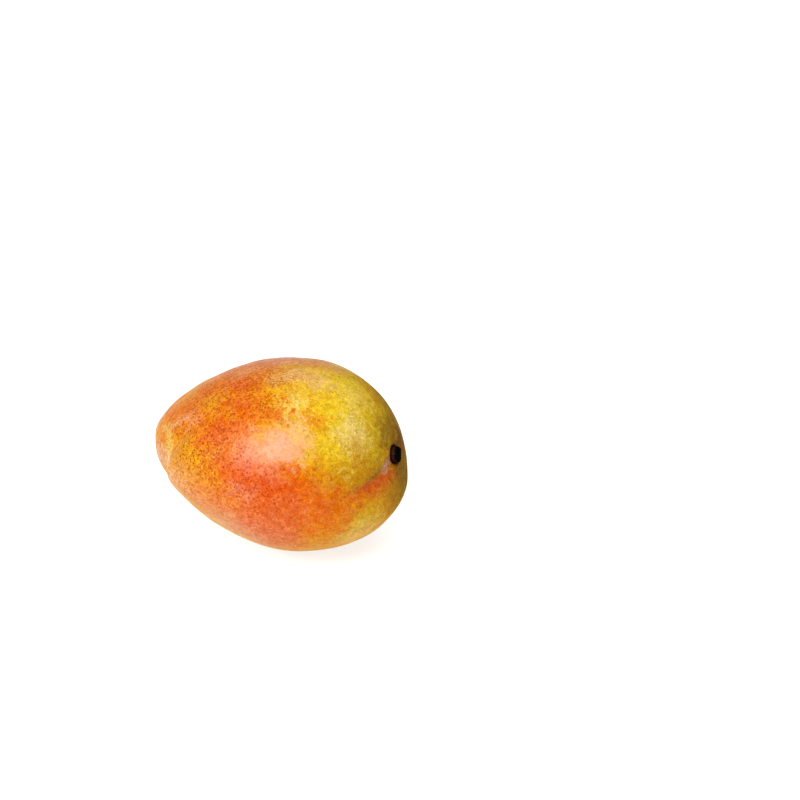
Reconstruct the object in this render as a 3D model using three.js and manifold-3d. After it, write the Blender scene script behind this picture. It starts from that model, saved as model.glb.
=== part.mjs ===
// A ripe mango lying on its flatter cheek, with the woody stub of its stalk.
// Millimetres, +Z up. +X is the stalk end, -X the beak, and -Y the side that carries the seam:
// a short furrow below the stalk and a deeper one, the sinus, beside the beak.
// The origin is on the surface that the fruit rests on, under the middle of its outline.
import * as THREE from "three";
import { mergeVertices } from "three/addons/utils/BufferGeometryUtils.js";
import Module from "manifold-3d";

// Driving dimensions of the fruit.
const LENGTH = 120; // beak to stalk end
const WIDTH = 96; // seam side to back
const THICKNESS = 85; // cheek to cheek
const AXIS_HEIGHT = 44; // the long axis above the surface, which leaves the flat spot it rests on
const ROUNDNESS = 1.065; // power of the section's growth from either end: above 1 draws the ends in
const SIDE_TAPER = 0.065; // share by which the stalk half is wider than the middle
const TOP_TAPER = 0.369; // the same for the cheek on top, which falls away to the beak
const UNDER_TAPER = -0.064; // and for the cheek below, which is almost even
const BEAK_OFFSET = { y: 2.2, z: 0.8 }; // of the beak's tip from the long axis
const STALK_OFFSET = { y: -2.2, z: -8.2 }; // of the blunt end's middle from the long axis

// The hollow round the stalk and the low corky collar in it.
const STALK_DIRECTION = new THREE.Vector3(0.952, -0.06, 0.307).normalize();
const DIMPLE = { depth: 2.4, reach: 0.26 };
const COLLAR = { height: 0.4, radius: 0.105, reach: 0.03 };

// The sinus: a furrow between the beak and the near lobe. Reaches are on the unit sphere.
const SINUS = {
  across: new THREE.Vector3(-0.65, 0.735, 0.19).normalize(),
  place: 0.08,
  depth: 2.6,
  reach: 0.1,
};

// The furrow below the stalk: its upper side is steep and its lower side is broad.
const FURROW = {
  across: new THREE.Vector3(0.31, 0.093, -0.946).normalize(),
  depth: 1.0,
  steepReach: 0.05,
  broadReach: 0.1,
};

// Soft swellings and flats that take the fruit away from a plain egg: direction, height, reach.
const SWELLINGS = [
  { name: "near lobe", to: [-0.7, -0.7, -0.09], height: 2.5, reach: 0.22 },
  { name: "flat under the sinus", to: [-0.45, -0.75, -0.55], height: -2.0, reach: 0.4 },
  { name: "back shoulder", to: [0.72, 0.35, 0.62], height: 0.35, reach: 0.4 },
].map((s) => ({ ...s, to: new THREE.Vector3(...s.to).normalize() }));

// The mesh: an icosphere, gathered round the stalk where the form is finest.
const ICOSPHERE_DETAIL = 19;
const GATHER = { share: 0.5, reach: 0.45 };

// The stalk's stub, turned on its own axis.
const STUB_RADIUS = 3.9;
const STUB_PROUD = 2.3; // above the floor of its hollow
const STUB_ROOT = 3.5; // sunk below that floor
const STUB_PIT = 0.7; // depth of the broken pith in its end
const STUB_SIDES = 24;
const GAP = 0.3; // round the stub, so that the two solids stay apart

const SKIN = new THREE.MeshStandardMaterial({ color: 0xe8932e, roughness: 0.42, metalness: 0 });
const WOOD = new THREE.MeshStandardMaterial({ color: 0x1d1512, roughness: 0.85, metalness: 0 });

const { smoothstep } = THREE.MathUtils;
const bell = (distance, reach) => Math.exp(-((distance / reach) ** 2));

// The plain egg under the relief: sections that grow from both ends, wider towards the stalk,
// strung on an axis that bends a little at each end.
function eggPoint(d) {
  const round = Math.sqrt(Math.max(1 - d.x * d.x, 1e-12));
  const grown = round ** (ROUNDNESS - 1);
  const towardsBeak = ((1 - d.x) / 2) ** 2;
  const towardsStalk = ((1 + d.x) / 2) ** 2;
  const rise = d.z / round;
  const meanTaper = (TOP_TAPER + UNDER_TAPER) / 2;
  const cheekTaper = meanTaper + ((TOP_TAPER - UNDER_TAPER) / 2) * rise;
  return new THREE.Vector3(
    (LENGTH / 2) * d.x,
    (WIDTH / 2) * grown * d.y * (1 + SIDE_TAPER * d.x) +
      BEAK_OFFSET.y * towardsBeak +
      STALK_OFFSET.y * towardsStalk,
    (THICKNESS / 2) * grown * d.z * (1 + cheekTaper * d.x) +
      BEAK_OFFSET.z * towardsBeak +
      STALK_OFFSET.z * towardsStalk,
  );
}

// The furrow beside the beak, which fades over the top, under the fruit and towards its middle.
function sinusRelief(d) {
  const off = d.dot(SINUS.across) - SINUS.place;
  const fade =
    (1 - smoothstep(d.y, -0.35, 0.05)) *
    (1 - smoothstep(d.z, 0.25, 0.95)) *
    smoothstep(d.z, -0.75, -0.15) *
    (1 - smoothstep(d.x, -0.55, -0.25));
  return -SINUS.depth * bell(off, SINUS.reach) * fade;
}

// The furrow that runs down from the stalk on the seam side.
function furrowRelief(d) {
  const off = d.dot(FURROW.across);
  const reach = off < 0 ? FURROW.steepReach : FURROW.broadReach;
  const fade = (1 - smoothstep(d.y, -0.22, -0.05)) * smoothstep(d.x, 0.45, 0.8);
  return -FURROW.depth * bell(off, reach) * fade;
}

// The hollow that the stalk stands in, with the collar round it.
function stalkRelief(d) {
  const away = d.distanceTo(STALK_DIRECTION);
  const collar = COLLAR.height * bell(away - COLLAR.radius, COLLAR.reach);
  return collar - DIMPLE.depth * bell(away, DIMPLE.reach);
}

// A point of the skin for a direction on the unit sphere: the egg, moved along its own normal.
function skinPoint(d) {
  const swelling = SWELLINGS.reduce((sum, s) => sum + s.height * bell(d.distanceTo(s.to), s.reach), 0);
  const relief = swelling + sinusRelief(d) + furrowRelief(d) + stalkRelief(d);
  const normal = new THREE.Vector3(d.x / LENGTH, d.y / WIDTH, d.z / THICKNESS).normalize();
  const point = eggPoint(d).addScaledVector(normal, relief);
  point.z += AXIS_HEIGHT;
  return point;
}

// Turns a direction towards the stalk, most of all near it, so that vertices gather there.
function gathered(d) {
  const angle = d.angleTo(STALK_DIRECTION);
  const axis = new THREE.Vector3().crossVectors(STALK_DIRECTION, d);
  if (axis.lengthSq() < 1e-12) return d.clone();
  const turned = angle * (1 - GATHER.share * bell(angle, GATHER.reach));
  return STALK_DIRECTION.clone().applyAxisAngle(axis.normalize(), turned);
}

function skinGeometry() {
  const geometry = new THREE.IcosahedronGeometry(1, ICOSPHERE_DETAIL);
  const position = geometry.getAttribute("position");
  for (let i = 0; i < position.count; i++) {
    const d = gathered(new THREE.Vector3().fromBufferAttribute(position, i).normalize());
    const p = skinPoint(d);
    position.setXYZ(i, p.x, p.y, p.z);
  }
  return geometry;
}

// The stub's place: its origin on the floor of the hollow, its own +Y along the stalk.
function stalkMatrix() {
  const floor = skinPoint(STALK_DIRECTION);
  const upright = new THREE.Quaternion().setFromUnitVectors(new THREE.Vector3(0, 1, 0), STALK_DIRECTION);
  return new THREE.Matrix4().compose(floor, upright, new THREE.Vector3(1, 1, 1));
}

// A short stub that narrows a little, with five uneven lobes and a pit where the pith was.
function stubGeometry() {
  const rim = STUB_PROUD;
  const profile = [
    [0, -STUB_ROOT],
    [0.8 * STUB_RADIUS, -STUB_ROOT],
    [0.97 * STUB_RADIUS, 0],
    [0.96 * STUB_RADIUS, 0.4 * rim],
    [0.95 * STUB_RADIUS, 0.75 * rim],
    [0.85 * STUB_RADIUS, 0.95 * rim],
    [0.65 * STUB_RADIUS, rim],
    [0.4 * STUB_RADIUS, rim - 0.6 * STUB_PIT],
    [0, rim - STUB_PIT],
  ].map(([r, y]) => new THREE.Vector2(r, y));
  const geometry = new THREE.LatheGeometry(profile, STUB_SIDES);
  const position = geometry.getAttribute("position");
  for (let i = 0; i < position.count; i++) {
    const p = new THREE.Vector3().fromBufferAttribute(position, i);
    const turn = Math.atan2(p.z, p.x);
    const proud = smoothstep(p.y, 0, rim);
    const outOfRound = 1 + proud * (0.04 * Math.sin(2 * turn + 0.6) + 0.05 * Math.sin(5 * turn));
    const broken = proud * 0.25 * Math.sin(3 * turn + 1.1) * (Math.hypot(p.x, p.z) / STUB_RADIUS);
    position.setXYZ(i, p.x * outOfRound, p.y + broken, p.z * outOfRound);
  }
  return geometry;
}

// The hole that the stub stands in, and a slab under the resting surface.
function socketGeometry() {
  const height = STUB_ROOT + GAP + STUB_PROUD;
  const hole = new THREE.CylinderGeometry(0.97 * STUB_RADIUS + GAP, 0.8 * STUB_RADIUS + GAP, height, STUB_SIDES);
  return hole.translate(0, height / 2 - STUB_ROOT - GAP, 0).applyMatrix4(stalkMatrix());
}

function slabGeometry() {
  const depth = 10;
  return new THREE.BoxGeometry(2 * LENGTH, 2 * WIDTH, depth).translate(0, 0, -depth / 2);
}

const wasm = await Module();
wasm.setup();

function solidOf(geometry) {
  const bare = geometry.clone();
  bare.deleteAttribute("normal");
  bare.deleteAttribute("uv");
  const merged = mergeVertices(bare, 1e-4);
  return new wasm.Manifold(
    new wasm.Mesh({
      numProp: 3,
      vertProperties: merged.getAttribute("position").array,
      triVerts: new Uint32Array(merged.index.array),
    }),
  );
}

function geometryOf(solid) {
  const mesh = solid.getMesh();
  const geometry = new THREE.BufferGeometry();
  geometry.setAttribute("position", new THREE.BufferAttribute(mesh.vertProperties, 3));
  geometry.setIndex(new THREE.BufferAttribute(mesh.triVerts, 1));
  geometry.computeVertexNormals();
  return geometry;
}

function fruitMesh() {
  const cut = solidOf(skinGeometry()).subtract(solidOf(slabGeometry())).subtract(solidOf(socketGeometry()));
  const mesh = new THREE.Mesh(geometryOf(cut), SKIN);
  mesh.name = "mango_fruit";
  return mesh;
}

function stubMesh() {
  const mesh = new THREE.Mesh(stubGeometry(), WOOD);
  mesh.name = "stalk_stub";
  mesh.applyMatrix4(stalkMatrix());
  return mesh;
}

const mango = new THREE.Group();
mango.add(fruitMesh(), stubMesh());

export default mango;
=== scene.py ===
"""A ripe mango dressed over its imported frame: the mottled skin, the stalk's stub and a plain stage.

Metres, +Z up. +X is the stalk end, -X the beak, and -Y the side that carries the seam's furrows.
"""
import math

import bpy
import numpy as np
from bpy.props import FloatProperty, FloatVectorProperty, IntProperty, PointerProperty
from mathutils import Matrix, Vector


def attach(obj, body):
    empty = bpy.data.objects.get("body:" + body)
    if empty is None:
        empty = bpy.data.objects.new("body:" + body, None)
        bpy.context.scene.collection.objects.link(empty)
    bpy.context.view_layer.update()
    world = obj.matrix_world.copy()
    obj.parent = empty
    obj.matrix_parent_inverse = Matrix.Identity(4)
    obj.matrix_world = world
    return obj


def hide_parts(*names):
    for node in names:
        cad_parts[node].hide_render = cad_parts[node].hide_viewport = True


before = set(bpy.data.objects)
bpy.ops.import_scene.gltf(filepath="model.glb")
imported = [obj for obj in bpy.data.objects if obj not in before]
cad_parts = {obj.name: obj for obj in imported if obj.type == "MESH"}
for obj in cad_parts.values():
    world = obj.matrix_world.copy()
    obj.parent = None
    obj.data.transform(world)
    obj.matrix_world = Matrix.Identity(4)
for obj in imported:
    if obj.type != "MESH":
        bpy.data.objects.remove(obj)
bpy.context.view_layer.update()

bl_info = {
    "name": "Ripe mango",
    "version": (1, 0, 0),
    "blender": (4, 5, 0),
    "location": "3D View > Sidebar > Mango",
    "description": "Grows a ripe mango with its stalk stub and sets it on a plain stage",
    "category": "Object",
}

MM = 0.001


# Sizes and colours


def length(name, description, default, **more):
    """A length in metres."""
    return FloatProperty(name=name, description=description, default=default, unit="LENGTH", **more)


def colour(name, description, default):
    """A colour in scene-linear red, green and blue."""
    return FloatVectorProperty(
        name=name, description=description, default=default, subtype="COLOR", size=3, min=0, max=1
    )


class MangoShape(bpy.types.PropertyGroup):
    """Driving dimensions of the fruit, the same as the frame's."""

    length: length("Length", "From the beak to the stalk end", 0.120)
    width: length("Width", "From the seam side to the back", 0.096)
    thickness: length("Thickness", "From cheek to cheek", 0.085)
    axis_height: length("Axis height", "Of the long axis above the resting surface", 0.044)
    dimple: length("Dimple", "Depth of the hollow round the stalk", 2.4 * MM)
    sinus: length("Sinus", "Depth of the furrow beside the beak", 2.6 * MM)
    furrow: length("Furrow", "Depth of the furrow below the stalk", 1.0 * MM)
    unevenness: length("Unevenness", "Height of the skin's gentle swells", 0.16 * MM)
    rings: IntProperty(name="Rings", description="Rings of points between the two ends", default=258)
    turns: IntProperty(name="Turns", description="Points in each ring", default=340)


class MangoSkin(bpy.types.PropertyGroup):
    """Pigments and grain of the skin."""

    lemon: colour("Lemon", "Ripe yellow of the sunny cheek", (0.64, 0.48, 0.010))
    # Pale waxy yellow, partly a painted sheen on the yellow cheek; also the painted highlight beside the
    # beak.
    straw_and_sheen: colour("Straw", "Pale yellow where the wax is thick", (0.66, 0.52, 0.13))
    gold: colour("Gold", "Ground colour of the whole fruit", (0.59, 0.29, 0.006))
    orange: colour("Orange", "Where yellow turns to blush", (0.60, 0.17, 0.003))
    scarlet: colour("Scarlet", "The blush at its deepest", (0.57, 0.098, 0.006))
    rose: colour("Rose", "Blush under wax", (0.56, 0.17, 0.075))
    # Painted sheen: the white room's reflection on the blush along the top edge.
    mauve_sheen: colour("Mauve", "Blush on the sunny edge", (0.57, 0.25, 0.14))
    # Pale blush; also the painted highlight along the furrow's lower side.
    peach_and_highlight: colour("Peach", "Pale blush", (0.58, 0.34, 0.19))
    # Mostly the painted highlight, the pale pink of the key softbox's reflection on the blush; also the pale
    # flecks of wax.
    bloom_and_highlight: colour("Bloom", "Blush under a thick bloom of wax", (0.64, 0.34, 0.28))
    olive: colour("Olive", "Yellow that is still green below", (0.40, 0.26, 0.004))
    leaf: colour("Leaf", "The green of the shaded side", (0.25, 0.24, 0.004))
    # Corky skin near the stalk; also painted shade in the furrow's crease and, with olive and leaf, on the
    # limb at the stalk end.
    russet_and_shade: colour("Russet", "Corky skin near the stalk", (0.17, 0.06, 0.008))
    lenticel: colour("Lenticel", "The red-brown pores", (0.33, 0.055, 0.004))
    pit: colour("Pit", "The dark middle of a pore", (0.19, 0.026, 0.005))
    freckle: colour("Freckle", "Fine grey-brown marks on the yellow", (0.21, 0.12, 0.035))
    pore_spacing: length("Pore spacing", "Between neighbouring pores", 1.3 * MM)
    pore_size: length("Pore size", "Across the largest pore", 1.9 * MM)


class MangoStub(bpy.types.PropertyGroup):
    """The broken stub of the stalk."""

    radius: length("Radius", "Of the stub, as in the frame", 3.9 * MM)
    proud: length("Proud", "Above the floor of its hollow", 2.3 * MM)
    root: length("Root", "Sunk below the floor of its hollow", 3.5 * MM)
    pit: length("Pit", "Depth of the broken pith", 0.7 * MM)
    # The near-black broken end: dried wood, partly painted shade.
    broken_end_and_shade: colour("Bark", "The dried, broken end", (0.005, 0.003, 0.004))
    fibre: colour("Fibre", "The torn wood of the side", (0.12, 0.03, 0.009))
    rings: IntProperty(name="Rings", description="Rings of points between the two ends", default=90)
    turns: IntProperty(name="Turns", description="Points in each ring", default=140)


class MangoStage(bpy.types.PropertyGroup):
    """Floor, light and camera."""

    floor_size: length("Floor size", "Side of the floor", 6.0)
    floor: colour("Floor", "Pale and plain", (0.90, 0.90, 0.90))
    shadow: colour("Shadow", "Share of the seen floor that shadows take away", (0.34, 0.34, 0.34))
    glow: FloatProperty(name="Glow", description="Light that the floor gives to the fruit", default=0.18)
    white: FloatProperty(name="White", description="Light that the floor gives to the camera", default=0.56)
    azimuth: FloatProperty(
        name="Azimuth", description="Of the camera, from -Y", default=math.radians(18), subtype="ANGLE"
    )
    elevation: FloatProperty(
        name="Elevation", description="Of the camera", default=math.radians(32), subtype="ANGLE"
    )
    distance: length("Distance", "From the fruit's middle to the camera", 0.8723)
    aim_right: length("Aim right", "The fruit stands this far left of the frame's middle", 55.85 * MM)
    aim_up: length("Aim up", "The fruit stands this far below the frame's middle", 21.27 * MM)
    lens: FloatProperty(name="Lens", description="Focal length in millimetres", default=85.0)


# Form


def unit(*vector):
    """The vector at length 1."""
    vector = np.array(vector, float)
    return vector / np.linalg.norm(vector)


def smoothstep(value, low, high):
    """0 below low, 1 above high, and 3 t^2 - 2 t^3 between."""
    t = np.clip((value - low) / (high - low), 0, 1)
    return t * t * (3 - 2 * t)


def bell(distance, reach):
    """exp(-(distance / reach)^2)."""
    return np.exp(-((distance / reach) ** 2))


# How the fruit departs from an ellipsoid, as in the frame.
ROUNDNESS = 1.065
SIDE_TAPER = 0.065
TOP_TAPER = 0.369
UNDER_TAPER = -0.064
BEAK_OFFSET = (0, 2.2 * MM, 0.8 * MM)
STALK_OFFSET = (0, -2.2 * MM, -8.2 * MM)
STALK = unit(0.952, -0.06, 0.307)
DIMPLE_REACH = 0.26
COLLAR = {"height": 0.4 * MM, "radius": 0.105, "reach": 0.03}
SINUS = {"across": unit(-0.65, 0.735, 0.19), "place": 0.08, "reach": 0.1}
FURROW = {"across": unit(0.31, 0.093, -0.946), "steep_reach": 0.05, "broad_reach": 0.1}

# Soft swellings and flats: direction, height and reach on the unit sphere.
SWELLINGS = {
    "near lobe": (unit(-0.7, -0.7, -0.09), 2.5 * MM, 0.22),
    "flat under the sinus": (unit(-0.45, -0.75, -0.55), -2.0 * MM, 0.4),
    "back shoulder": (unit(0.72, 0.35, 0.62), 0.35 * MM, 0.4),
}
RING_GATHER = 1.3
SOCKET = {"gap": 0.04 * MM, "wall": 0.35 * MM, "depth": 3.9 * MM}
# The skin's fine relief: wavelengths, the short swells' height against the long ones', and the wrinkles'
# distance from the stalk's axis with their reach.
SWELL = {"long": 34 * MM, "short": 13 * MM, "share": 0.35}
WRINKLE = {"wander": 11 * MM, "distance": 7 * MM, "reach": 4 * MM, "height": 0.4}
# The stub: the power of its profile, its side's width and its roughness.
STUB = {"power": 0.26, "width": 0.96, "coarse": 1.7 * MM, "fine": 0.8 * MM, "roughness": 0.13 * MM}
# The cork gives way to smooth skin between these distances from the stalk's axis.
CORK_RING = (3.9 * MM, 6.5 * MM)


def away_from(directions, place):
    """Straight distance on the unit sphere from each direction to a place on it."""
    return np.linalg.norm(directions - place, axis=-1)


def ripples(points, wavelength, seed, waves=9):
    """Smooth random unevenness, mostly from -1 to 1: the sum of sine waves of one length whose
    headings and phases are drawn from a seeded generator, over the square root of half their number."""
    random = np.random.default_rng(seed)
    heading = random.normal(size=(waves, 3))
    heading /= np.linalg.norm(heading, axis=1, keepdims=True)
    phase = random.uniform(0, 2 * np.pi, waves)
    return np.sin(2 * np.pi / wavelength * (points @ heading.T) + phase).sum(-1) / math.sqrt(waves / 2)


def egg(d, shape):
    """The plain egg. For a unit direction d, a section's size is r^(roundness - 1) times d's own y and z,
    where r is d's distance from the long axis. The sections widen towards the stalk by their tapers, and
    their middles bend off the long axis with the square of the nearness to each end."""
    x, y, z = d[:, 0], d[:, 1], d[:, 2]
    from_axis = np.sqrt(np.maximum(1 - x * x, 1e-12))
    grown = from_axis ** (ROUNDNESS - 1)
    towards_beak = ((1 - x) / 2)[:, None] ** 2
    towards_stalk = ((1 + x) / 2)[:, None] ** 2
    cheek_taper = (TOP_TAPER + UNDER_TAPER) / 2 + (TOP_TAPER - UNDER_TAPER) / 2 * z / from_axis
    sections = np.stack(
        [
            shape.length / 2 * x,
            shape.width / 2 * grown * y * (1 + SIDE_TAPER * x),
            shape.thickness / 2 * grown * z * (1 + cheek_taper * x),
        ],
        -1,
    )
    return sections + towards_beak * np.array(BEAK_OFFSET) + towards_stalk * np.array(STALK_OFFSET)


def sinus_mask(d):
    """1 along the furrow beside the beak. It is a bell about a plane through the middle, faded out over
    the top, under the fruit and towards its middle."""
    off = d @ SINUS["across"] - SINUS["place"]
    over_top = 1 - smoothstep(d[:, 2], 0.25, 0.95)
    under = smoothstep(d[:, 2], -0.75, -0.15)
    near_side = 1 - smoothstep(d[:, 1], -0.35, 0.05)
    beak_end = 1 - smoothstep(d[:, 0], -0.55, -0.25)
    return bell(off, SINUS["reach"]) * over_top * under * near_side * beak_end


def furrow_mask(d):
    """1 along the furrow below the stalk: a bell about a plane, steep above it and broad below it."""
    off = d @ FURROW["across"]
    reach = np.where(off < 0, FURROW["steep_reach"], FURROW["broad_reach"])
    near_side = 1 - smoothstep(d[:, 1], -0.22, -0.05)
    return bell(off, reach) * near_side * smoothstep(d[:, 0], 0.45, 0.8)


def relief(d, shape):
    """Height over the egg: the swellings, less the two furrows, and the collared hollow of the stalk."""
    swellings = sum(height * bell(away_from(d, to), reach) for to, height, reach in SWELLINGS.values())
    away = away_from(d, STALK)
    collar = COLLAR["height"] * bell(away - COLLAR["radius"], COLLAR["reach"])
    hollow = shape.dimple * bell(away, DIMPLE_REACH)
    return swellings - shape.sinus * sinus_mask(d) - shape.furrow * furrow_mask(d) + collar - hollow


def outward(d, shape):
    """The direction in which relief moves a point: d over the three driving sizes, at length 1."""
    normal = d / np.array([shape.length, shape.width, shape.thickness])
    return normal / np.linalg.norm(normal, axis=-1, keepdims=True)


def bare_skin(d, shape):
    """Points of the skin without its fine relief: egg and relief, lifted to the long axis's height."""
    return egg(d, shape) + outward(d, shape) * relief(d, shape)[:, None] + [0, 0, shape.axis_height]


def stalk_frame(shape):
    """The floor of the stalk's hollow and two directions square to the stalk."""
    floor = bare_skin(STALK[None, :], shape)[0]
    aside = unit(*np.cross([0, 0, 1], STALK))
    return floor, aside, np.cross(STALK, aside)


def stalk_places(points, shape):
    """Distance from the stalk's own axis, and turn round it, of each point."""
    floor, aside, above = stalk_frame(shape)
    across, along = (points - floor) @ aside, (points - floor) @ above
    return np.hypot(across, along), np.arctan2(along, across)


def directions(rings, turns):
    """Unit directions, first the stalk's, then ring after ring round it, then the opposite one. Ring i of
    n stands at the angle pi (i / n)^gather from the stalk, so the rings crowd where the form is finest."""
    angle = np.pi * (np.arange(1, rings + 1)[:, None] / (rings + 1)) ** RING_GATHER
    turn = np.linspace(0, 2 * np.pi, turns, endpoint=False)[None, :]
    aside = unit(*np.cross([0, 0, 1], STALK))
    above = np.cross(STALK, aside)
    across = np.cos(turn)[..., None] * aside + np.sin(turn)[..., None] * above
    ring = np.cos(angle)[..., None] * STALK + np.sin(angle)[..., None] * across
    return np.vstack([STALK, ring.reshape(-1, 3), -STALK])


def tube_faces(rings, turns):
    """Quads between neighbouring rings, and a fan from each end point to the ring beside it. Point 0 is the
    first end, then come the rings' points, and the last point is the other end."""
    ring, turn = np.meshgrid(np.arange(rings - 1), np.arange(turns), indexing="ij")
    here = 1 + ring * turns + turn
    beside = 1 + ring * turns + (turn + 1) % turns
    quads = np.stack([here, here + turns, beside + turns, beside], -1).reshape(-1, 4)
    around = np.arange(turns)
    next_one = (around + 1) % turns
    last_ring = 1 + (rings - 1) * turns
    first_fan = np.stack([np.zeros_like(around), 1 + around, 1 + next_one], -1)
    last_point = np.full_like(around, rings * turns + 1)
    last_fan = np.stack([last_point, last_ring + next_one, last_ring + around], -1)
    return quads, np.vstack([first_fan, last_fan])


def tube_rows(grid):
    """The values of a grid of rings in a tube's order, where the first and the last ring are one point."""
    return np.vstack([grid[0, :1], grid[1:-1].reshape(-1, grid.shape[-1]), grid[-1, :1]])


def surface(name, points, rings, turns):
    """A smooth closed object from the points of a tube."""
    quads, fans = tube_faces(rings, turns)
    mesh = bpy.data.meshes.new(name)
    mesh.from_pydata(points.tolist(), [], quads.tolist() + fans.tolist())
    mesh.polygons.foreach_set("use_smooth", np.ones(len(mesh.polygons), bool))
    mesh.update()
    piece = bpy.data.objects.new(name, mesh)
    bpy.context.scene.collection.objects.link(piece)
    return piece


def keep_attribute(piece, name, values):
    """Stores one number or one vector for each point, for the material to read."""
    kind, field = ("FLOAT_VECTOR", "vector") if values.ndim == 2 else ("FLOAT", "value")
    made = piece.data.attributes.new(name, kind, "POINT")
    made.data.foreach_set(field, values.astype(np.float32).ravel())


def swells(points, d, shape):
    """Fine relief of the skin: long and short swells all over, and wrinkles that run out from the stalk."""
    long_swells = ripples(points, SWELL["long"], seed=3)
    short_swells = SWELL["share"] * ripples(points, SWELL["short"], seed=8)
    from_stalk, turn = stalk_places(points, shape)
    wander = ripples(points, WRINKLE["wander"], seed=5)
    folds = np.sin(13 * turn + 1.8 * wander) + 0.6 * np.sin(29 * turn + 2.4 * wander)
    near = bell(from_stalk - WRINKLE["distance"], WRINKLE["reach"]) * (away_from(d, STALK) < 1)
    smooth_part = (long_swells + short_swells) * (1 - near)
    return shape.unevenness * (smooth_part + WRINKLE["height"] * folds * near)


def sink_socket(points, shape, stub):
    """Lets the skin drop round the stub: points nearer to the stalk's axis than the stub's side and a gap
    go down along the axis, by a smooth step across the wall."""
    from_stalk, turn = stalk_places(points, shape)
    ragged = 1 + 0.015 * np.sin(3 * turn + 0.4) + 0.01 * np.sin(7 * turn)
    edge = (stub.radius + SOCKET["gap"]) * ragged
    sunk = (1 - smoothstep(from_stalk, edge, edge + SOCKET["wall"])) * (points @ STALK > 0)
    return points - STALK * (SOCKET["depth"] * sunk)[:, None]


def skin_points(d, shape, stub):
    """Points of the finished skin, flat where they would pass below the resting surface."""
    points = bare_skin(d, shape)
    points = points + outward(d, shape) * swells(points, d, shape)[:, None]
    points = sink_socket(points, shape, stub)
    points[:, 2] = np.maximum(points[:, 2], 0)
    return points


# Where the pores stand thickest, and where the yellow carries fine marks: direction, reach, amount.
PORE_FIELDS = [
    (unit(-0.4, -0.3, 0.87), 0.42, 0.95),
    (unit(-0.1, -0.2, 0.97), 0.25, 0.6),
    (unit(-0.1, -0.5, 0.86), 0.22, 0.5),
    (unit(-0.5, -0.74, 0.45), 0.3, 0.9),
    (unit(0.1, -0.93, 0.3), 0.42, 0.55),
    (unit(-0.3, -0.93, 0.1), 0.4, 0.35),
    (unit(-0.45, 0.5, 0.65), 0.5, 0.5),
    (unit(-0.62, 0.03, 0.78), 0.22, 0.4),
    # Fewer pores under the painted highlight, where the key softbox's reflection would hide them.
    (unit(0.14, -0.78, 0.61), 0.2, -0.5),
]
FRECKLE_FIELDS = [
    (unit(0.78, -0.2, 0.58), 0.3, 1.0),
    (unit(0.5, -0.35, 0.79), 0.3, 0.8),
    (unit(0.4, -0.05, 0.92), 0.3, 0.7),
    (unit(0.6, 0.6, 0.5), 0.5, 0.7),
    (unit(0.7, -0.65, -0.2), 0.35, 0.7),
]


def field(d, places):
    """Sum of bells round the given directions, from 0 to 1."""
    return np.clip(sum(amount * bell(away_from(d, to), reach) for to, reach, amount in places), 0, 1)


# Shader nodes


class Board:
    """Short calls that add nodes to one node tree. An input may be a value or another node's socket."""

    def __init__(self, tree):
        self.tree = tree

    def put(self, socket, value):
        """Links a socket, or sets a value."""
        if isinstance(value, bpy.types.NodeSocket):
            self.tree.links.new(value, socket)
        else:
            socket.default_value = value

    def node(self, kind, inputs=None, **settings):
        """A node with its settings and named or numbered inputs."""
        made = self.tree.nodes.new(kind)
        for name, value in settings.items():
            setattr(made, name, value)
        for name, value in (inputs or {}).items():
            self.put(made.inputs[name], value)
        return made

    def math(self, operation, first, second=0.0, clamp=False):
        """One operation on two numbers."""
        made = self.node("ShaderNodeMath", {0: first, 1: second}, operation=operation, use_clamp=clamp)
        return made.outputs[0]

    def product(self, *factors):
        """Several numbers multiplied."""
        result = factors[0]
        for factor in factors[1:]:
            result = self.math("MULTIPLY", result, factor)
        return result

    def vector(self, operation, first, second=(0, 0, 0)):
        """One operation on one or two vectors."""
        made = self.node("ShaderNodeVectorMath", {0: first, 1: second}, operation=operation)
        return made.outputs["Value" if operation in {"LENGTH", "DISTANCE", "DOT_PRODUCT"} else "Vector"]

    def scaled(self, vector, scale):
        """A vector times a number."""
        made = self.node("ShaderNodeVectorMath", {0: vector, "Scale": scale}, operation="SCALE")
        return made.outputs["Vector"]

    def mix(self, factor, first, second, blend="MIX"):
        """One colour over another."""
        made = self.node("ShaderNodeMix", data_type="RGBA", blend_type=blend, clamp_factor=True)
        for index, value in ((0, factor), (6, first), (7, second)):
            self.put(made.inputs[index], value)
        return made.outputs[2]

    def span(self, value, low, high, to_low=0.0, to_high=1.0):
        """A smooth step from one range to another."""
        inputs = {"Value": value, "From Min": low, "From Max": high, "To Min": to_low, "To Max": to_high}
        return self.node("ShaderNodeMapRange", inputs, interpolation_type="SMOOTHSTEP").outputs["Result"]

    def noise(self, vector, scale, detail=2.0, roughness=0.5):
        """A noise texture, whose outputs are Fac and Color."""
        inputs = {"Vector": vector, "Scale": scale, "Detail": detail, "Roughness": roughness}
        return self.node("ShaderNodeTexNoise", inputs)

    def attribute(self, name, output="Fac"):
        """An attribute of the piece's own points."""
        return self.node("ShaderNodeAttribute", attribute_name=name).outputs[output]

    def group(self, tree, inputs):
        """A node group with named inputs."""
        made = self.tree.nodes.new("ShaderNodeGroup")
        made.node_tree = tree
        for name, value in inputs.items():
            self.put(made.inputs[name], value)
        return made


SOCKETS = {"value": "NodeSocketFloat", "vector": "NodeSocketVector", "colour": "NodeSocketColor"}


def new_group(name, inputs, outputs):
    """A node group with its sockets. Returns its tree, a board on it, its inputs and its output node."""
    tree = bpy.data.node_groups.new(name, "ShaderNodeTree")
    for socket, (kind, default) in inputs.items():
        made = tree.interface.new_socket(socket, in_out="INPUT", socket_type=SOCKETS[kind])
        made.default_value = default
    for socket, kind in outputs.items():
        tree.interface.new_socket(socket, in_out="OUTPUT", socket_type=SOCKETS[kind])
    board = Board(tree)
    return tree, board, board.node("NodeGroupInput").outputs, board.node("NodeGroupOutput").inputs


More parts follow.
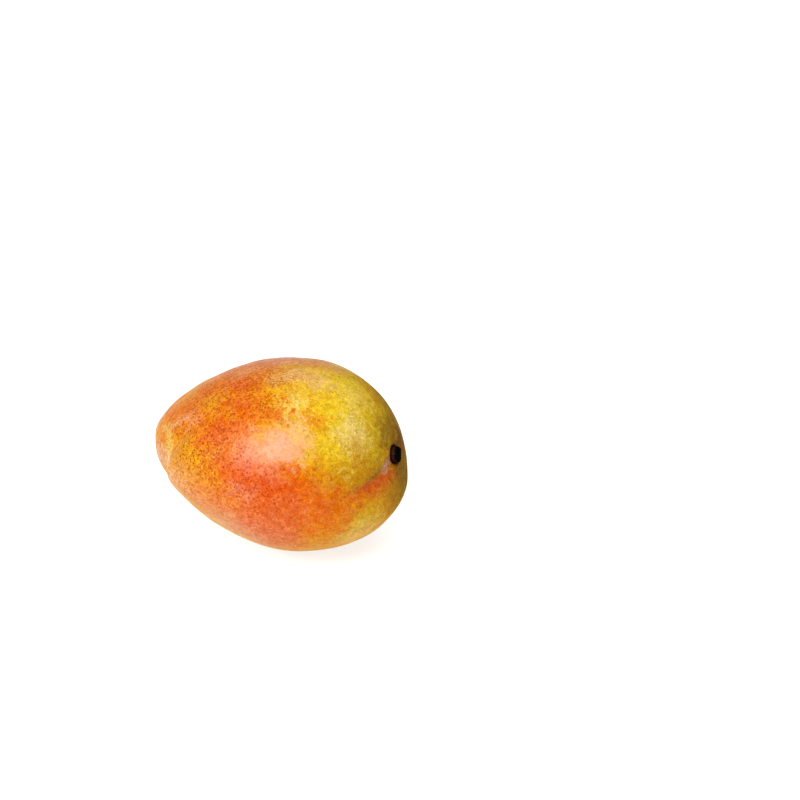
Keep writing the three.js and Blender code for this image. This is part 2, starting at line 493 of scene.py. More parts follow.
def patch_group():
    """Paints one soft patch of colour on the ground colour. Its mask steps down with the distance from the
    patch's middle, from full at reach (1 - softness) to none at reach (1 + softness)."""
    white = (1, 1, 1, 1)
    tree, board, given, out = new_group(
        "Pigment patch",
        {
            "Ground": ("colour", white),
            "Pigment": ("colour", white),
            "Direction": ("vector", (0, 0, 1)),
            "Middle": ("vector", (0, 0, 1)),
            "Reach": ("value", 0.3),
            "Softness": ("value", 0.6),
            "Strength": ("value", 1.0),
        },
        {"Color": "colour"},
    )
    distance = board.vector("DISTANCE", given["Direction"], given["Middle"])
    inner = board.product(given["Reach"], board.math("SUBTRACT", 1.0, given["Softness"]))
    outer = board.product(given["Reach"], board.math("ADD", 1.0, given["Softness"]))
    mask = board.product(board.span(distance, outer, inner), given["Strength"])
    board.put(out["Color"], board.mix(mask, given["Ground"], given["Pigment"]))
    return tree


def dots_group():
    """Scattered round dots of uneven size, each with a small core. Each cell of a Voronoi texture holds one
    dot, whose size and presence are drawn from the cell's own random colour."""
    tree, board, given, out = new_group(
        "Scattered dots",
        {
            "Vector": ("vector", (0, 0, 0)),
            "Spacing": ("value", 2.0 * MM),
            "Size": ("value", 0.6 * MM),
            "Share": ("value", 1.0),
        },
        {"Mask": "value", "Core": "value"},
    )
    scale = board.math("DIVIDE", 1.0, given["Spacing"])
    cells = board.node("ShaderNodeTexVoronoi", {"Vector": given["Vector"], "Scale": scale})
    draw = board.node("ShaderNodeSeparateColor", {"Color": cells.outputs["Color"]})
    size = board.product(board.math("DIVIDE", given["Size"], given["Spacing"]), 0.5)
    size = board.product(size, board.span(draw.outputs["Red"], 0.0, 1.0, 0.55, 1.0))
    present = board.math("LESS_THAN", draw.outputs["Green"], given["Share"])
    for name, outer, inner in (("Mask", 1.0, 0.2), ("Core", 0.6, 0.1)):
        dot = board.span(cells.outputs["Distance"], board.product(size, outer), board.product(size, inner))
        board.put(out[name], board.product(dot, present))
    return tree


def mottle_group():
    """Cloudy blotches from 0 to 1: noise of four octaves, stretched about its middle by the contrast."""
    tree, board, given, out = new_group(
        "Mottle",
        {
            "Vector": ("vector", (0, 0, 0)),
            "Size": ("value", 5.0 * MM),
            "Contrast": ("value", 0.5),
        },
        {"Mask": "value"},
    )
    cloud = board.noise(given["Vector"], board.math("DIVIDE", 1.0, given["Size"]), 4.0, 0.62)
    half_width = board.product(board.math("SUBTRACT", 1.0, given["Contrast"]), 0.35)
    low = board.math("SUBTRACT", 0.5, half_width)
    high = board.math("ADD", 0.5, half_width)
    board.put(out["Mask"], board.span(cloud.outputs["Fac"], low, high))
    return tree


def new_material(name):
    """A material with its shader. Returns it, a board on its nodes, the shader and Object coordinates."""
    material = bpy.data.materials.new(name)
    material.use_nodes = True
    board = Board(material.node_tree)
    shader = material.node_tree.nodes["Principled BSDF"]
    place = board.node("ShaderNodeTexCoord").outputs["Object"]
    return material, board, shader, place


# The skin's patches of pigment, laid one over another: pigment, middle, reach, strength.
PATCHES = [
    # the shaded side and underneath
    ("olive", (0.15, 0.95, 0.1), 0.95, 0.9),
    ("leaf", (0.5, 0.8, -0.1), 0.5, 0.8),
    ("leaf", (-0.2, 0.95, 0.25), 0.3, 0.5),
    ("gold", (-0.3, 0.85, -0.4), 0.35, 0.7),
    ("lemon", (0.0, 0.1, -1.0), 0.75, 0.7),
    # the top edge: blush under a painted sheen in mauve, the white room's reflection at the grazing edge
    ("rose", (-0.3, 0.5, 0.8), 0.4, 0.5),
    ("mauve_sheen", (-0.45, 0.3, 0.84), 0.16, 0.6),
    ("mauve_sheen", (-0.15, 0.32, 0.94), 0.25, 0.85),
    ("mauve_sheen", (0.2, 0.33, 0.93), 0.24, 0.8),
    ("mauve_sheen", (0.42, 0.3, 0.86), 0.15, 0.5),
    # the beak end
    ("orange", (-0.85, -0.1, 0.5), 0.6, 0.8),
    ("gold", (-0.95, -0.25, 0.2), 0.2, 0.6),
    ("peach_and_highlight", (-0.84, -0.52, 0.05), 0.16, 0.75),
    ("straw_and_sheen", (-0.79, -0.42, 0.45), 0.11, 0.65),
    ("gold", (-0.72, -0.2, 0.66), 0.14, 0.6),
    # the upper left
    ("orange", (-0.4, -0.35, 0.85), 0.45, 0.85),
    ("scarlet", (-0.2, -0.13, 0.97), 0.17, 0.6),
    ("gold", (-0.43, -0.32, 0.84), 0.13, 0.8),
    ("peach_and_highlight", (-0.3, 0.0, 0.96), 0.14, 0.35),
    ("scarlet", (-0.1, -0.5, 0.86), 0.17, 0.75),
    ("gold", (-0.27, -0.54, 0.8), 0.08, 0.6),
    ("scarlet", (-0.28, -0.66, 0.7), 0.14, 0.65),
    ("gold", (-0.74, 0.12, 0.65), 0.2, 0.7),
    # the left flank
    ("gold", (-0.52, -0.78, 0.37), 0.24, 0.9),
    ("orange", (-0.44, -0.72, 0.53), 0.14, 0.6),
    ("gold", (-0.47, -0.79, 0.4), 0.12, 0.75),
    ("scarlet", (-0.33, -0.75, 0.57), 0.1, 0.5),
    ("peach_and_highlight", (-0.58, -0.82, -0.04), 0.2, 0.6),
    ("peach_and_highlight", (-0.65, -0.43, 0.62), 0.14, 0.5),
    ("orange", (-0.79, -0.22, 0.58), 0.1, 0.5),
    ("gold", (-0.44, -0.88, 0.08), 0.11, 0.7),
    ("rose", (-0.15, -0.85, 0.5), 0.26, 0.6),
    # the belly
    ("orange", (0.1, -0.97, 0.1), 0.5, 0.7),
    ("orange", (0.4, -0.9, 0.14), 0.3, 0.8),
    ("scarlet", (-0.05, -0.93, 0.36), 0.22, 0.85),
    ("scarlet", (0.26, -0.93, 0.24), 0.22, 0.85),
    ("orange", (0.3, -0.86, 0.41), 0.12, 0.8),
    ("scarlet", (0.05, -0.98, 0.2), 0.16, 0.85),
    ("rose", (-0.06, -0.98, 0.15), 0.12, 0.45),
    ("rose", (-0.25, -0.95, -0.22), 0.3, 0.6),
    ("scarlet", (0.1, -0.98, -0.12), 0.22, 0.7),
    ("scarlet", (0.12, -0.94, -0.33), 0.2, 0.6),
    ("scarlet", (0.38, -0.9, -0.06), 0.15, 0.4),
    ("scarlet", (0.3, -0.93, 0.2), 0.12, 0.35),
    ("scarlet", (0.48, -0.82, 0.29), 0.13, 0.25),
    ("rose", (0.2, -0.97, -0.12), 0.25, 0.45),
    ("olive", (0.5, -0.81, 0.31), 0.12, 0.25),
    ("peach_and_highlight", (-0.15, -0.85, -0.5), 0.3, 0.5),
    ("rose", (0.1, -0.87, -0.47), 0.3, 0.5),
    ("orange", (0.51, -0.84, -0.2), 0.15, 0.4),
    ("orange", (0.43, -0.88, 0.21), 0.13, 0.5),
    # the yellow cheek; its straw is partly a painted sheen, the broad edge of the key softbox's reflection
    ("gold", (0.25, -0.3, 0.92), 0.35, 0.8),
    ("lemon", (0.6, -0.1, 0.8), 0.5, 0.9),
    ("lemon", (0.55, -0.5, 0.68), 0.3, 0.9),
    ("straw_and_sheen", (0.6, -0.05, 0.8), 0.3, 0.15),
    ("straw_and_sheen", (0.66, -0.4, 0.64), 0.17, 0.8),
    ("straw_and_sheen", (0.22, -0.38, 0.9), 0.12, 0.6),
    ("lemon", (0.42, -0.3, 0.86), 0.14, 0.7),
    ("orange", (0.38, -0.48, 0.79), 0.09, 0.65),
    ("peach_and_highlight", (0.06, -0.08, 0.99), 0.13, 0.35),
    ("peach_and_highlight", (0.22, -0.07, 0.97), 0.13, 0.4),
    ("scarlet", (0.13, -0.52, 0.84), 0.1, 0.65),
    ("peach_and_highlight", (0.28, -0.58, 0.77), 0.1, 0.45),
    ("gold", (0.37, -0.53, 0.76), 0.07, 0.5),
    ("lemon", (0.5, -0.24, 0.83), 0.13, 0.8),
    ("rose", (0.27, 0.26, 0.93), 0.14, 0.3),
    ("gold", (0.38, -0.3, 0.87), 0.12, 0.4),
    ("gold", (0.46, -0.58, 0.67), 0.1, 0.3),
    ("peach_and_highlight", (0.35, -0.08, 0.93), 0.13, 0.35),
    ("straw_and_sheen", (0.63, -0.09, 0.77), 0.14, 0.35),
    # the shoulder near the stalk, where olive and russet are partly the skin's own and partly painted shade
    # on the limb at the stalk end
    ("olive", (0.77, -0.51, 0.36), 0.21, 0.7),
    ("straw_and_sheen", (0.7, -0.46, 0.55), 0.14, 0.5),
    ("olive", (0.89, -0.02, 0.44), 0.22, 0.75),
    ("russet_and_shade", (0.93, 0.2, 0.32), 0.2, 0.5),
    ("russet_and_shade", (0.87, -0.1, 0.48), 0.12, 0.3),
    ("olive", (0.8, 0.28, 0.53), 0.16, 0.5),
    ("gold", (0.7, 0.22, 0.68), 0.14, 0.4),
    ("russet_and_shade", (0.93, 0.12, 0.36), 0.1, 0.45),
    ("gold", (0.77, -0.55, 0.31), 0.12, 0.4),
    ("gold", (0.72, -0.52, 0.46), 0.12, 0.4),
    ("lemon", (0.8, -0.36, 0.47), 0.1, 0.4),
    ("straw_and_sheen", (0.69, -0.62, 0.37), 0.05, 0.6),
    # below the furrow, where olive, leaf and russet towards the stalk end are partly painted shade on the
    # limb
    ("gold", (0.85, -0.48, -0.05), 0.26, 0.85),
    ("lemon", (0.84, -0.52, -0.06), 0.22, 0.6),
    ("gold", (0.9, -0.38, 0.0), 0.18, 0.6),
    ("olive", (0.98, -0.16, 0.03), 0.2, 0.45),
    ("leaf", (0.98, 0.0, -0.05), 0.26, 0.35),
    ("russet_and_shade", (0.99, 0.0, 0.15), 0.16, 0.4),
    ("straw_and_sheen", (0.74, -0.6, -0.33), 0.2, 0.45),
    ("orange", (0.6, -0.78, 0.02), 0.2, 0.7),
    ("orange", (0.75, -0.66, 0.05), 0.1, 0.45),
    ("gold", (0.95, -0.3, 0.05), 0.14, 0.45),
]
# The painted highlight: the pale pink where the key softbox's reflection lies on the blush, with pink blush
# at its left edge and a little pale blush on the belly, laid over the patches with a softer edge.
PAINTED_HIGHLIGHT_PATCHES = [
    ("bloom_and_highlight", (-0.03, -0.79, 0.61), 0.13, 0.3),
    ("bloom_and_highlight", (0.12, -0.78, 0.61), 0.14, 0.55),
    ("bloom_and_highlight", (0.25, -0.75, 0.61), 0.13, 0.55),
    ("bloom_and_highlight", (0.37, -0.7, 0.61), 0.11, 0.3),
    ("bloom_and_highlight", (0.1, -0.9, 0.42), 0.1, 0.35),
    ("bloom_and_highlight", (-0.08, -0.88, 0.47), 0.1, 0.3),
    ("rose", (-0.12, -0.7, 0.7), 0.1, 0.35),
    ("bloom_and_highlight", (-0.06, -0.99, 0.13), 0.09, 0.3),
]
# The red band below the furrow, from its plane at the stalk's end towards the belly, with painted shade along
# the crease above it and a painted highlight along the furrow's upturned lower side in it.
CREASE_SHADE = {"upper": (-0.075, -0.05), "lower": (-0.045, -0.03), "start": (0.12, 0.17), "end": (0.4, 0.6)}
BAND = {"upper": (-0.05, -0.02), "lower": (0.03, 0.19), "start": (0.1, 0.17), "end": (0.5, 0.85)}
FURROW_HIGHLIGHT = {"upper": (-0.06, -0.035), "lower": (-0.005, 0.02), "start": (0.08, 0.1), "end": (0.22, 0.34)}
FURROW_PAINT = ((CREASE_SHADE, "russet_and_shade", 0.4), (BAND, "scarlet", 0.8), (FURROW_HIGHLIGHT, "peach_and_highlight", 0.85))
# The painted highlight along the sinus's far wall, beside the beak: its plane, half its width, its middle
# along that plane and its strength.
SINUS_HIGHLIGHT = {
    "across": unit(0.65, -0.72, 0.24),
    "place": -0.035,
    "half_width": 0.085,
    "middle": unit(-0.77, -0.6, 0.2),
    "strength": 0.7,
}
# The blotches that break the ground: size and strength, and the tints of their dark and pale parts on the
# yellow and on the blush.
BLOTCHES = ((5.5 * MM, 0.5), (2.4 * MM, 0.7), (1.1 * MM, 0.75), (0.6 * MM, 0.7))
DARK_TINTS = ((0.84, 0.81, 0.6, 1), (0.90, 0.68, 0.42, 1))
PALE_TINTS = ((1.09, 1.1, 1.5, 1), (1.05, 1.26, 1.5, 1))
# The pale flecks of wax on the blush and on the yellow: pigment, size and strength.
FLECKS = (("bloom_and_highlight", 3.1 * MM, 0.1), ("peach_and_highlight", 2.0 * MM, 0.12))
# How far a coarse and a fine noise push the edges of the patches, and those of the furrow's bands.
TORN_EDGE, FRAYED_EDGE = (0.32, 0.45), (0.12, 0.24)
# Softness of the patches' edges, and of the painted highlight's.
PATCH_SOFTNESS, HIGHLIGHT_SOFTNESS = 0.6, 0.85
# The fine specks between the pores, and the freckles on the yellow.
SPECKS = {"Spacing": 0.95 * MM, "Size": 0.9 * MM, "Share": 0.75}
FRECKLES = {"Spacing": 1.3 * MM, "Size": 0.8 * MM, "Share": 0.6}
# The wax: the range of its roughness, and its gloss with the tint of it.
WAX = {"roughness": (0.36, 0.46), "gloss": 0.26, "tint": (1.0, 0.78, 0.4, 1.0)}


def rgb(pigment):
    """A colour property with full alpha."""
    return (*pigment, 1.0)


def ragged_direction(board, direction, place, coarse_amount, fine_amount):
    """The direction pushed about by two noises, which gives whatever is painted by it a ragged edge."""
    for scale, detail, amount in ((75.0, 3.0, coarse_amount), (330.0, 4.0, fine_amount)):
        noise = board.noise(place, scale, detail, 0.65).outputs["Color"]
        push = board.vector("SUBTRACT", noise, (0.5, 0.5, 0.5))
        direction = board.vector("ADD", direction, board.scaled(push, amount))
    return direction


def painted_patches(board, skin, patch, ground, direction, patches, softness):
    """The ground colour under a list of patches."""
    for pigment, middle, reach, strength in patches:
        inputs = {
            "Ground": ground,
            "Pigment": rgb(getattr(skin, pigment)),
            "Direction": direction,
            "Middle": unit(*middle),
            "Reach": reach,
            "Softness": softness,
            "Strength": strength,
        }
        ground = board.group(patch, inputs).outputs["Color"]
    return ground


def band_mask(board, off, from_stalk, band):
    """1 inside a band: between two offsets from the furrow's plane and two distances from the stalk."""
    upper, lower = board.span(off, *band["upper"]), board.span(off, *band["lower"])
    start, end = board.span(from_stalk, *band["start"]), board.span(from_stalk, *band["end"])
    across, along = board.math("SUBTRACT", upper, lower), board.math("SUBTRACT", start, end)
    return board.math("MULTIPLY", across, along, clamp=True)


def painted_furrows(board, skin, ground, direction):
    """The painted shade along the crease, the red band and the painted highlight of the furrow, and the
    painted highlight beside the beak.
    """
    off = board.vector("DOT_PRODUCT", direction, FURROW["across"])
    from_stalk = board.vector("DISTANCE", direction, STALK)
    near_side = board.span(board.vector("DOT_PRODUCT", direction, (0, -1, 0)), 0.0, 0.12)
    for area, pigment, strength in FURROW_PAINT:
        mask = board.product(band_mask(board, off, from_stalk, area), near_side, strength)
        ground = board.mix(mask, ground, rgb(getattr(skin, pigment)))
    # The painted highlight beside the beak, in straw.
    aside = board.math("SUBTRACT", board.vector("DOT_PRODUCT", direction, SINUS_HIGHLIGHT["across"]), SINUS_HIGHLIGHT["place"])
    sinus_highlight_mask = board.span(board.math("ABSOLUTE", aside), SINUS_HIGHLIGHT["half_width"], 0.0)
    beside_beak = board.span(board.vector("DISTANCE", direction, SINUS_HIGHLIGHT["middle"]), 0.3, 0.15)
    return board.mix(board.product(sinus_highlight_mask, beside_beak, SINUS_HIGHLIGHT["strength"]), ground, rgb(skin.straw_and_sheen))


def mottled(board, skin, mottle, ground, place, direction):
    """The ground broken by blotches of four sizes, most of all in the blush, by pale flecks of wax and by
    faint streaks along the fruit."""
    green = board.node("ShaderNodeSeparateColor", {"Color": ground}).outputs["Green"]
    blush = board.span(green, 0.42, 0.15)
    dark, pale = board.mix(blush, *DARK_TINTS), board.mix(blush, *PALE_TINTS)
    for size, strength in BLOTCHES:
        blotches = board.group(mottle, {"Vector": place, "Size": size, "Contrast": 0.5}).outputs["Mask"]
        ground = board.mix(strength, ground, board.mix(blotches, dark, pale), "MULTIPLY")
    yellow = board.math("SUBTRACT", 1.0, blush)
    for where, (pigment, size, strength) in zip((blush, yellow), FLECKS):
        flecks = board.group(mottle, {"Vector": place, "Size": size, "Contrast": 0.72}).outputs["Mask"]
        ground = board.mix(board.product(flecks, where, strength), ground, rgb(getattr(skin, pigment)))
    streak_place = board.vector("MULTIPLY", direction, (3.0, 26.0, 26.0))
    streaks = board.noise(streak_place, 1.6, 4.0, 0.7).outputs["Fac"]
    shade = board.span(streaks, 0.3, 0.7, 0.88, 1.08)
    shade_colour = board.node("ShaderNodeCombineColor", {"Red": shade, "Green": shade, "Blue": shade})
    return board.mix(0.5, ground, shade_colour.outputs["Color"], "MULTIPLY")


def dotted(board, skin, ground, place):
    """The ground under red-brown pores with a dark middle, fine specks between them, and the freckles of the
    yellow. The pores stand in clumps, and thicker where the piece's own "pores" attribute is higher. Returns
    the colour and the pores' mask."""
    dots = dots_group()
    thickness = board.attribute("pores")
    clumps = board.span(board.noise(place, 130.0, 2.0, 0.5).outputs["Fac"], 0.35, 0.6, 0.5, 1.3)
    share = board.math("ADD", board.product(thickness, clumps), 0.15)
    pore = {"Vector": place, "Spacing": skin.pore_spacing, "Size": skin.pore_size, "Share": share}
    pores = board.group(dots, pore).outputs
    specks = board.group(dots, {"Vector": place, **SPECKS}).outputs
    freckles = board.group(dots, {"Vector": place, **FRECKLES}).outputs
    layers = (
        (pores["Mask"], board.span(thickness, 0.0, 0.9, 0.28, 0.75), skin.lenticel),
        (pores["Core"], board.span(thickness, 0.0, 0.9, 0.15, 0.5), skin.pit),
        (specks["Mask"], board.span(thickness, 0.0, 0.6, 0.25, 0.55), skin.lenticel),
        (freckles["Mask"], board.product(board.attribute("freckles"), 0.65), skin.freckle),
    )
    for mask, strength, pigment in layers:
        ground = board.mix(board.product(mask, strength), ground, rgb(pigment))
    return ground, pores["Mask"]


def skin_material(skin):
    """Mango skin: patches of pigment with ragged edges, blotches, fine streaks along the fruit, dark pores,
    grey-brown freckles and a corky ring at the stalk, with a painted highlight, a painted sheen along the
    top, painted shade in the crease and on the stalk end's limb, and painted highlights in the furrows, under
    a satin wax."""
    material, board, shader, place = new_material("Mango skin")
    patch, mottle = patch_group(), mottle_group()
    direction = board.attribute("direction", "Vector")
    torn = ragged_direction(board, direction, place, *TORN_EDGE)
    frayed = ragged_direction(board, direction, place, *FRAYED_EDGE)
    ground = painted_patches(board, skin, patch, rgb(skin.gold), torn, PATCHES, PATCH_SOFTNESS)
    ground = painted_furrows(board, skin, ground, frayed)
    ground = mottled(board, skin, mottle, ground, place, direction)
    # The painted highlight goes over the blotches, so that it stays smooth.
    ground = painted_patches(board, skin, patch, ground, torn, PAINTED_HIGHLIGHT_PATCHES, HIGHLIGHT_SOFTNESS)
    ground, pores = dotted(board, skin, ground, place)

    cork = board.attribute("cork")
    crumb = board.group(mottle, {"Vector": place, "Size": 1.2 * MM, "Contrast": 0.5}).outputs["Mask"]
    corky = board.product(cork, board.math("ADD", 0.5, board.product(crumb, 0.5)))
    board.put(shader.inputs["Base Color"], board.mix(corky, ground, rgb(skin.russet_and_shade)))

    cloud = board.noise(place, 160.0, 3.0, 0.6).outputs["Fac"]
    satin = board.span(cloud, 0.3, 0.7, *WAX["roughness"])
    board.put(shader.inputs["Roughness"], board.math("ADD", satin, board.product(corky, 0.3)))
    pebble = board.noise(place, 1000.0, 3.0, 0.6).outputs["Fac"]
    height = board.math("SUBTRACT", board.product(pebble, 0.05), board.product(pores, 0.03))
    height = board.math("ADD", height, board.product(crumb, cork, 0.15))
    bump = board.node("ShaderNodeBump", {"Height": height, "Distance": MM})
    board.put(shader.inputs["Normal"], bump.outputs["Normal"])
    shader.inputs["Specular IOR Level"].default_value = WAX["gloss"]
    shader.inputs["Specular Tint"].default_value = WAX["tint"]
    return material


def stub_material(stub):
    """Dried stalk: brown torn wood round a near-black broken end, whose darkness is partly painted shade,
    with fibres that run along it, and dull roughness.
    """
    material, board, shader, place = new_material("Dried stalk")
    along = board.attribute("grain", "Vector")
    fibres = board.noise(along, 1.0, 4.0, 0.65).outputs["Fac"]
    cloud = board.noise(place, 900.0, 3.0, 0.6).outputs["Fac"]
    torn = board.product(board.span(fibres, 0.45, 0.72), board.span(cloud, 0.35, 0.7))
    side = board.math("SUBTRACT", 1.0, board.attribute("end"))
    torn = board.product(side, board.math("ADD", board.product(torn, 0.6), 0.4))
    board.put(shader.inputs["Base Color"], board.mix(torn, rgb(stub.broken_end_and_shade), rgb(stub.fibre)))
    board.put(shader.inputs["Roughness"], board.span(fibres, 0.3, 0.7, 0.75, 0.5))
    shader.inputs["Specular IOR Level"].default_value = 0.12
    height = board.product(board.math("ADD", fibres, cloud), 0.12)
    bump = board.node("ShaderNodeBump", {"Height": height, "Distance": MM})
    board.put(shader.inputs["Normal"], bump.outputs["Normal"])
    return material


def floor_material(stage):
    """Pale matt paper, whose whiteness for the camera is set apart from the light that it gives the fruit."""
    material, board, shader, place = new_material("Pale floor")
    seen = board.node("ShaderNodeLightPath").outputs["Is Camera Ray"]
    board.put(shader.inputs["Base Color"], board.mix(seen, rgb(stage.floor), rgb(stage.shadow)))
    far = board.span(board.vector("LENGTH", place), HORIZON["near"], HORIZON["far"], 0.0, HORIZON["whiter"])
    white = board.span(seen, 0.0, 1.0, stage.glow, stage.white)
    board.put(shader.inputs["Emission Strength"], board.math("ADD", white, board.product(far, seen)))
    shader.inputs["Emission Color"].default_value = (1, 1, 1, 1)
    shader.inputs["Roughness"].default_value = 0.7
    shader.inputs["Specular IOR Level"].default_value = 0.2
    return material


# Operators


class MANGO_OT_fruit(bpy.types.Operator):
    """Grow the fruit's skin over its frame node"""

    bl_idname = "mango.fruit"
    bl_label = "Grow the fruit"

    def execute(self, context):
        shape, stub = context.scene.mango_shape, context.scene.mango_stub
        d = directions(shape.rings, shape.turns)
        points = skin_points(d, shape, stub)
        piece = surface("mango_skin", points, shape.rings, shape.turns)
        from_stalk, _ = stalk_places(points, shape)
        stalk_end = away_from(d, STALK) < 1
        keep_attribute(piece, "direction", d)
        keep_attribute(piece, "pores", field(d, PORE_FIELDS))
        keep_attribute(piece, "freckles", field(d, FRECKLE_FIELDS))
        keep_attribute(piece, "cork", (1 - smoothstep(from_stalk, *CORK_RING)) * stalk_end)
        piece.data.materials.append(skin_material(context.scene.mango_skin))
        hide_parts("mango_fruit")
        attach(piece, "root")
        return {"FINISHED"}


def stub_points(shape, stub):
    """The stub's points, the place of each in its grain, and how far each belongs to the broken end. The
    profile is a superellipse, r = |sin a|^n and h = cos a |cos a|^(n - 1), with a pit in the end. The side
    is out of round and ribbed, and the end is broken by waves and ripples."""
    angle = np.pi * np.arange(0, stub.rings + 2)[:, None] / (stub.rings + 1)
    turn = np.linspace(0, 2 * np.pi, stub.turns, endpoint=False)[None, :]
    share = np.sin(angle) ** STUB["power"] * np.ones_like(turn)
    rise = np.sign(np.cos(angle)) * np.abs(np.cos(angle)) ** STUB["power"] * np.ones_like(turn)
    height = np.where(rise > 0, rise * stub.proud, rise * stub.root)
    exposed = smoothstep(height, -0.5 * MM, stub.proud)
    out_of_round = 1 + exposed * (0.05 * np.sin(2 * turn + 0.6) + 0.035 * np.sin(5 * turn))
    ribs = 1 - 0.035 * exposed * (0.5 + 0.5 * np.sin(17 * turn + 2 * np.sin(3 * turn)))
    narrow = np.where(height < 0, 1 + 0.2 * height / stub.root, 1)
    radius = STUB["width"] * stub.radius * share * out_of_round * ribs * narrow
    broken = exposed * 0.25 * MM * np.sin(3 * turn + 1.1) * share
    pit = exposed * stub.pit * bell(share, 0.45)
    floor, aside, above = stalk_frame(shape)
    across = np.cos(turn)[..., None] * aside + np.sin(turn)[..., None] * above
    points = floor + radius[..., None] * across + (height + broken - pit)[..., None] * STALK
    rough = ripples(points, STUB["coarse"], seed=11) + 0.6 * ripples(points, STUB["fine"], seed=12)
    points = points + STALK * (STUB["roughness"] * exposed * rough)[..., None]
    grain = np.stack([6 * np.cos(turn) * share, 6 * np.sin(turn) * share, height / (3 * MM)], -1)
    end = smoothstep(height, 0.5 * stub.proud, 0.9 * stub.proud)[..., None]
    return tube_rows(points), tube_rows(grain), tube_rows(end)[:, 0]


class MANGO_OT_stub(bpy.types.Operator):
    """Set the broken stub of the stalk in its hollow"""

    bl_idname = "mango.stub"
    bl_label = "Set the stalk's stub"

    def execute(self, context):
        shape, stub = context.scene.mango_shape, context.scene.mango_stub
        points, grain, end = stub_points(shape, stub)
        piece = surface("stalk_stub_wood", points, stub.rings, stub.turns)
        keep_attribute(piece, "grain", grain)
        keep_attribute(piece, "end", end)
        piece.data.materials.append(stub_material(stub))
        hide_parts("stalk_stub")
        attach(piece, "root")
        return {"FINISHED"}


# The floor grows whiter for the camera between these distances from the fruit, so no horizon shows.
HORIZON = {"near": 0.3, "far": 1.5, "whiter": 0.25}
# The room's light falls from bright to dim towards this side.
ROOM = {"dim_side": unit(0.9, 0.1, 0.2), "bright": 0.37, "dim": 0.22}
FRUIT_MIDDLE = Vector((0, 0, 42.5 * MM))
LAMPS_AIM = Vector((0, 0, 40 * MM))
# The softboxes: where each stands from the fruit, its distance and side in metres and its power in watts.
SOFTBOXES = {
    "key": {"towards": (-0.185, -0.641, 0.744), "distance": 1.2, "size": 0.55, "power": 9.8},
    "fill": {"towards": (-0.8, -0.5, 0.35), "distance": 1.4, "size": 0.8, "power": 0.6},
    "overhead": {"towards": (0.25, 0.35, 0.9), "distance": 1.3, "size": 1.0, "power": 5.6},
}
# Corners of the dark card's two leaves, in metres.
CARD_LYING = [(0.055, 0, MM), (0.6, -0.06, MM), (0.6, 0.8, MM), (0.055, 0.8, MM)]
CARD_UPRIGHT = [(0.02, 0.16, MM), (0.4, 0.16, MM), (0.4, 0.16, 0.1), (0.02, 0.16, 0.1)]


def stage_sheet(name, corners, material):
    """A flat backdrop piece of four-sided leaves, from their corners in turn."""
    mesh = bpy.data.meshes.new(name)
    mesh.from_pydata(corners, [], np.arange(len(corners)).reshape(-1, 4).tolist())
    mesh.materials.append(material)
    sheet = bpy.data.objects.new(name, mesh)
    bpy.context.scene.collection.objects.link(sheet)
    return sheet


def softbox(name, towards, distance, size, power):
    """A square area light that faces the fruit's middle from a direction."""
    light = bpy.data.lights.new(name, "AREA")
    light.size = size
    light.energy = power
    lamp = bpy.data.objects.new(name, light)
    lamp.location = LAMPS_AIM + Vector(unit(*towards)) * distance
    lamp.rotation_euler = Vector(unit(*towards)).to_track_quat("Z", "Y").to_euler()
    bpy.context.scene.collection.objects.link(lamp)


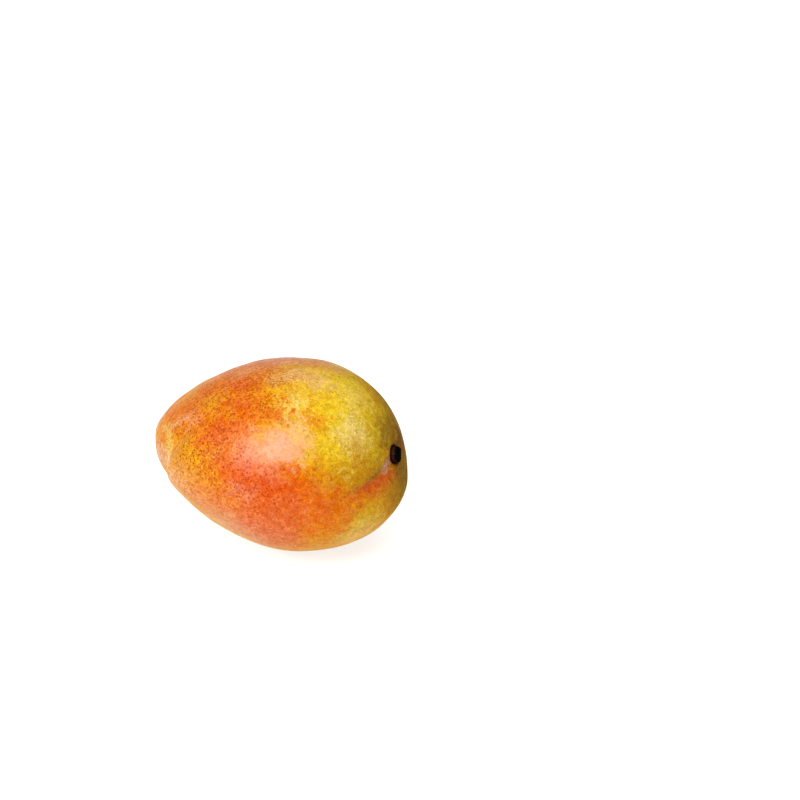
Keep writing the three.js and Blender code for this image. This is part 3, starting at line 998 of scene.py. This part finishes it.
class MANGO_OT_stage(bpy.types.Operator):
    """Lay the floor, hang the lights and aim the camera"""

    bl_idname = "mango.stage"
    bl_label = "Set the stage"

    def execute(self, context):
        stage = context.scene.mango_stage
        self.lay_floor(stage)
        self.lay_card()
        self.hang_lights(context.scene)
        self.aim_camera(context.scene, stage)
        return {"FINISHED"}

    def lay_floor(self, stage):
        """A flat square at z = 0."""
        half = stage.floor_size / 2
        corners = [(-half, -half, 0), (half, -half, 0), (half, half, 0), (-half, half, 0)]
        stage_sheet("floor", corners, floor_material(stage))

    def lay_card(self):
        """A dark card behind the stalk end, seen by reflections alone: one leaf lies and one stands."""
        material, _, shader, _ = new_material("Dark card")
        shader.inputs["Base Color"].default_value = (0.12, 0.12, 0.12, 1.0)
        shader.inputs["Roughness"].default_value = 0.9
        card = stage_sheet("dark_card", CARD_LYING + CARD_UPRIGHT, material)
        card.visible_camera = card.visible_shadow = card.visible_diffuse = False

    def hang_lights(self, scene):
        """A white room that is dimmer on the right, and three softboxes: key, fill and overhead."""
        scene.world = bpy.data.worlds.new("White room")
        scene.world.use_nodes = True
        board = Board(scene.world.node_tree)
        seen = board.node("ShaderNodeLightPath").outputs["Is Camera Ray"]
        background = scene.world.node_tree.nodes["Background"]
        background.inputs["Color"].default_value = (1, 1, 1, 1)
        towards = board.node("ShaderNodeTexCoord").outputs["Generated"]
        sideways = board.vector("DOT_PRODUCT", towards, ROOM["dim_side"])
        ambient = board.span(sideways, -0.5, 0.9, ROOM["bright"], ROOM["dim"])
        board.put(background.inputs["Strength"], board.math("MAXIMUM", ambient, seen))
        for name, settings in SOFTBOXES.items():
            softbox(name, **settings)

    def aim_camera(self, scene, stage):
        """Places the camera round the fruit's middle and turns it, so that the fruit stands left and low."""
        turn, rise = stage.azimuth, stage.elevation
        back = Vector(
            (math.sin(turn) * math.cos(rise), -math.cos(turn) * math.cos(rise), math.sin(rise))
        )
        right = Vector((math.cos(turn), math.sin(turn), 0))
        up = back.cross(right)
        camera = bpy.data.objects.new("camera", bpy.data.cameras.new("camera"))
        camera.data.lens = stage.lens
        camera.data.sensor_width = 36
        camera.location = FRUIT_MIDDLE + stage.distance * back
        aim = FRUIT_MIDDLE + stage.aim_right * right + stage.aim_up * up
        camera.rotation_euler = (aim - camera.location).to_track_quat("-Z", "Y").to_euler()
        scene.collection.objects.link(camera)
        scene.camera = camera
        scene.view_settings.view_transform = "Standard"
        scene.view_settings.look = "High Contrast"


class MANGO_PT_making(bpy.types.Panel):
    """Lists the steps and their sizes"""

    bl_idname = "MANGO_PT_making"
    bl_label = "Mango"
    bl_space_type = "VIEW_3D"
    bl_region_type = "UI"
    bl_category = "Mango"

    def draw(self, context):
        for step, groups in STEPS.items():
            box = self.layout.box()
            for group in groups:
                settings = getattr(context.scene, group)
                for name in settings.bl_rna.properties.keys():
                    if name not in {"rna_type", "name"}:
                        box.prop(settings, name)
            box.operator(step)


STEPS = {
    "mango.fruit": ("mango_shape", "mango_skin"),
    "mango.stub": ("mango_stub",),
    "mango.stage": ("mango_stage",),
}
GROUPS = {
    "mango_shape": MangoShape,
    "mango_skin": MangoSkin,
    "mango_stub": MangoStub,
    "mango_stage": MangoStage,
}
CLASSES = (*GROUPS.values(), MANGO_OT_fruit, MANGO_OT_stub, MANGO_OT_stage, MANGO_PT_making)


def register():
    """Registers the classes and gives every scene its property groups."""
    for made in CLASSES:
        bpy.utils.register_class(made)
    for name, group in GROUPS.items():
        setattr(bpy.types.Scene, name, PointerProperty(type=group))


def unregister():
    """Takes back what register gave."""
    for name in GROUPS:
        delattr(bpy.types.Scene, name)
    for made in reversed(CLASSES):
        bpy.utils.unregister_class(made)


def main():
    """Registers the classes and makes the pieces in order."""
    register()
    bpy.ops.mango.fruit()
    bpy.ops.mango.stub()
    bpy.ops.mango.stage()


if __name__ == "__main__":
    main()
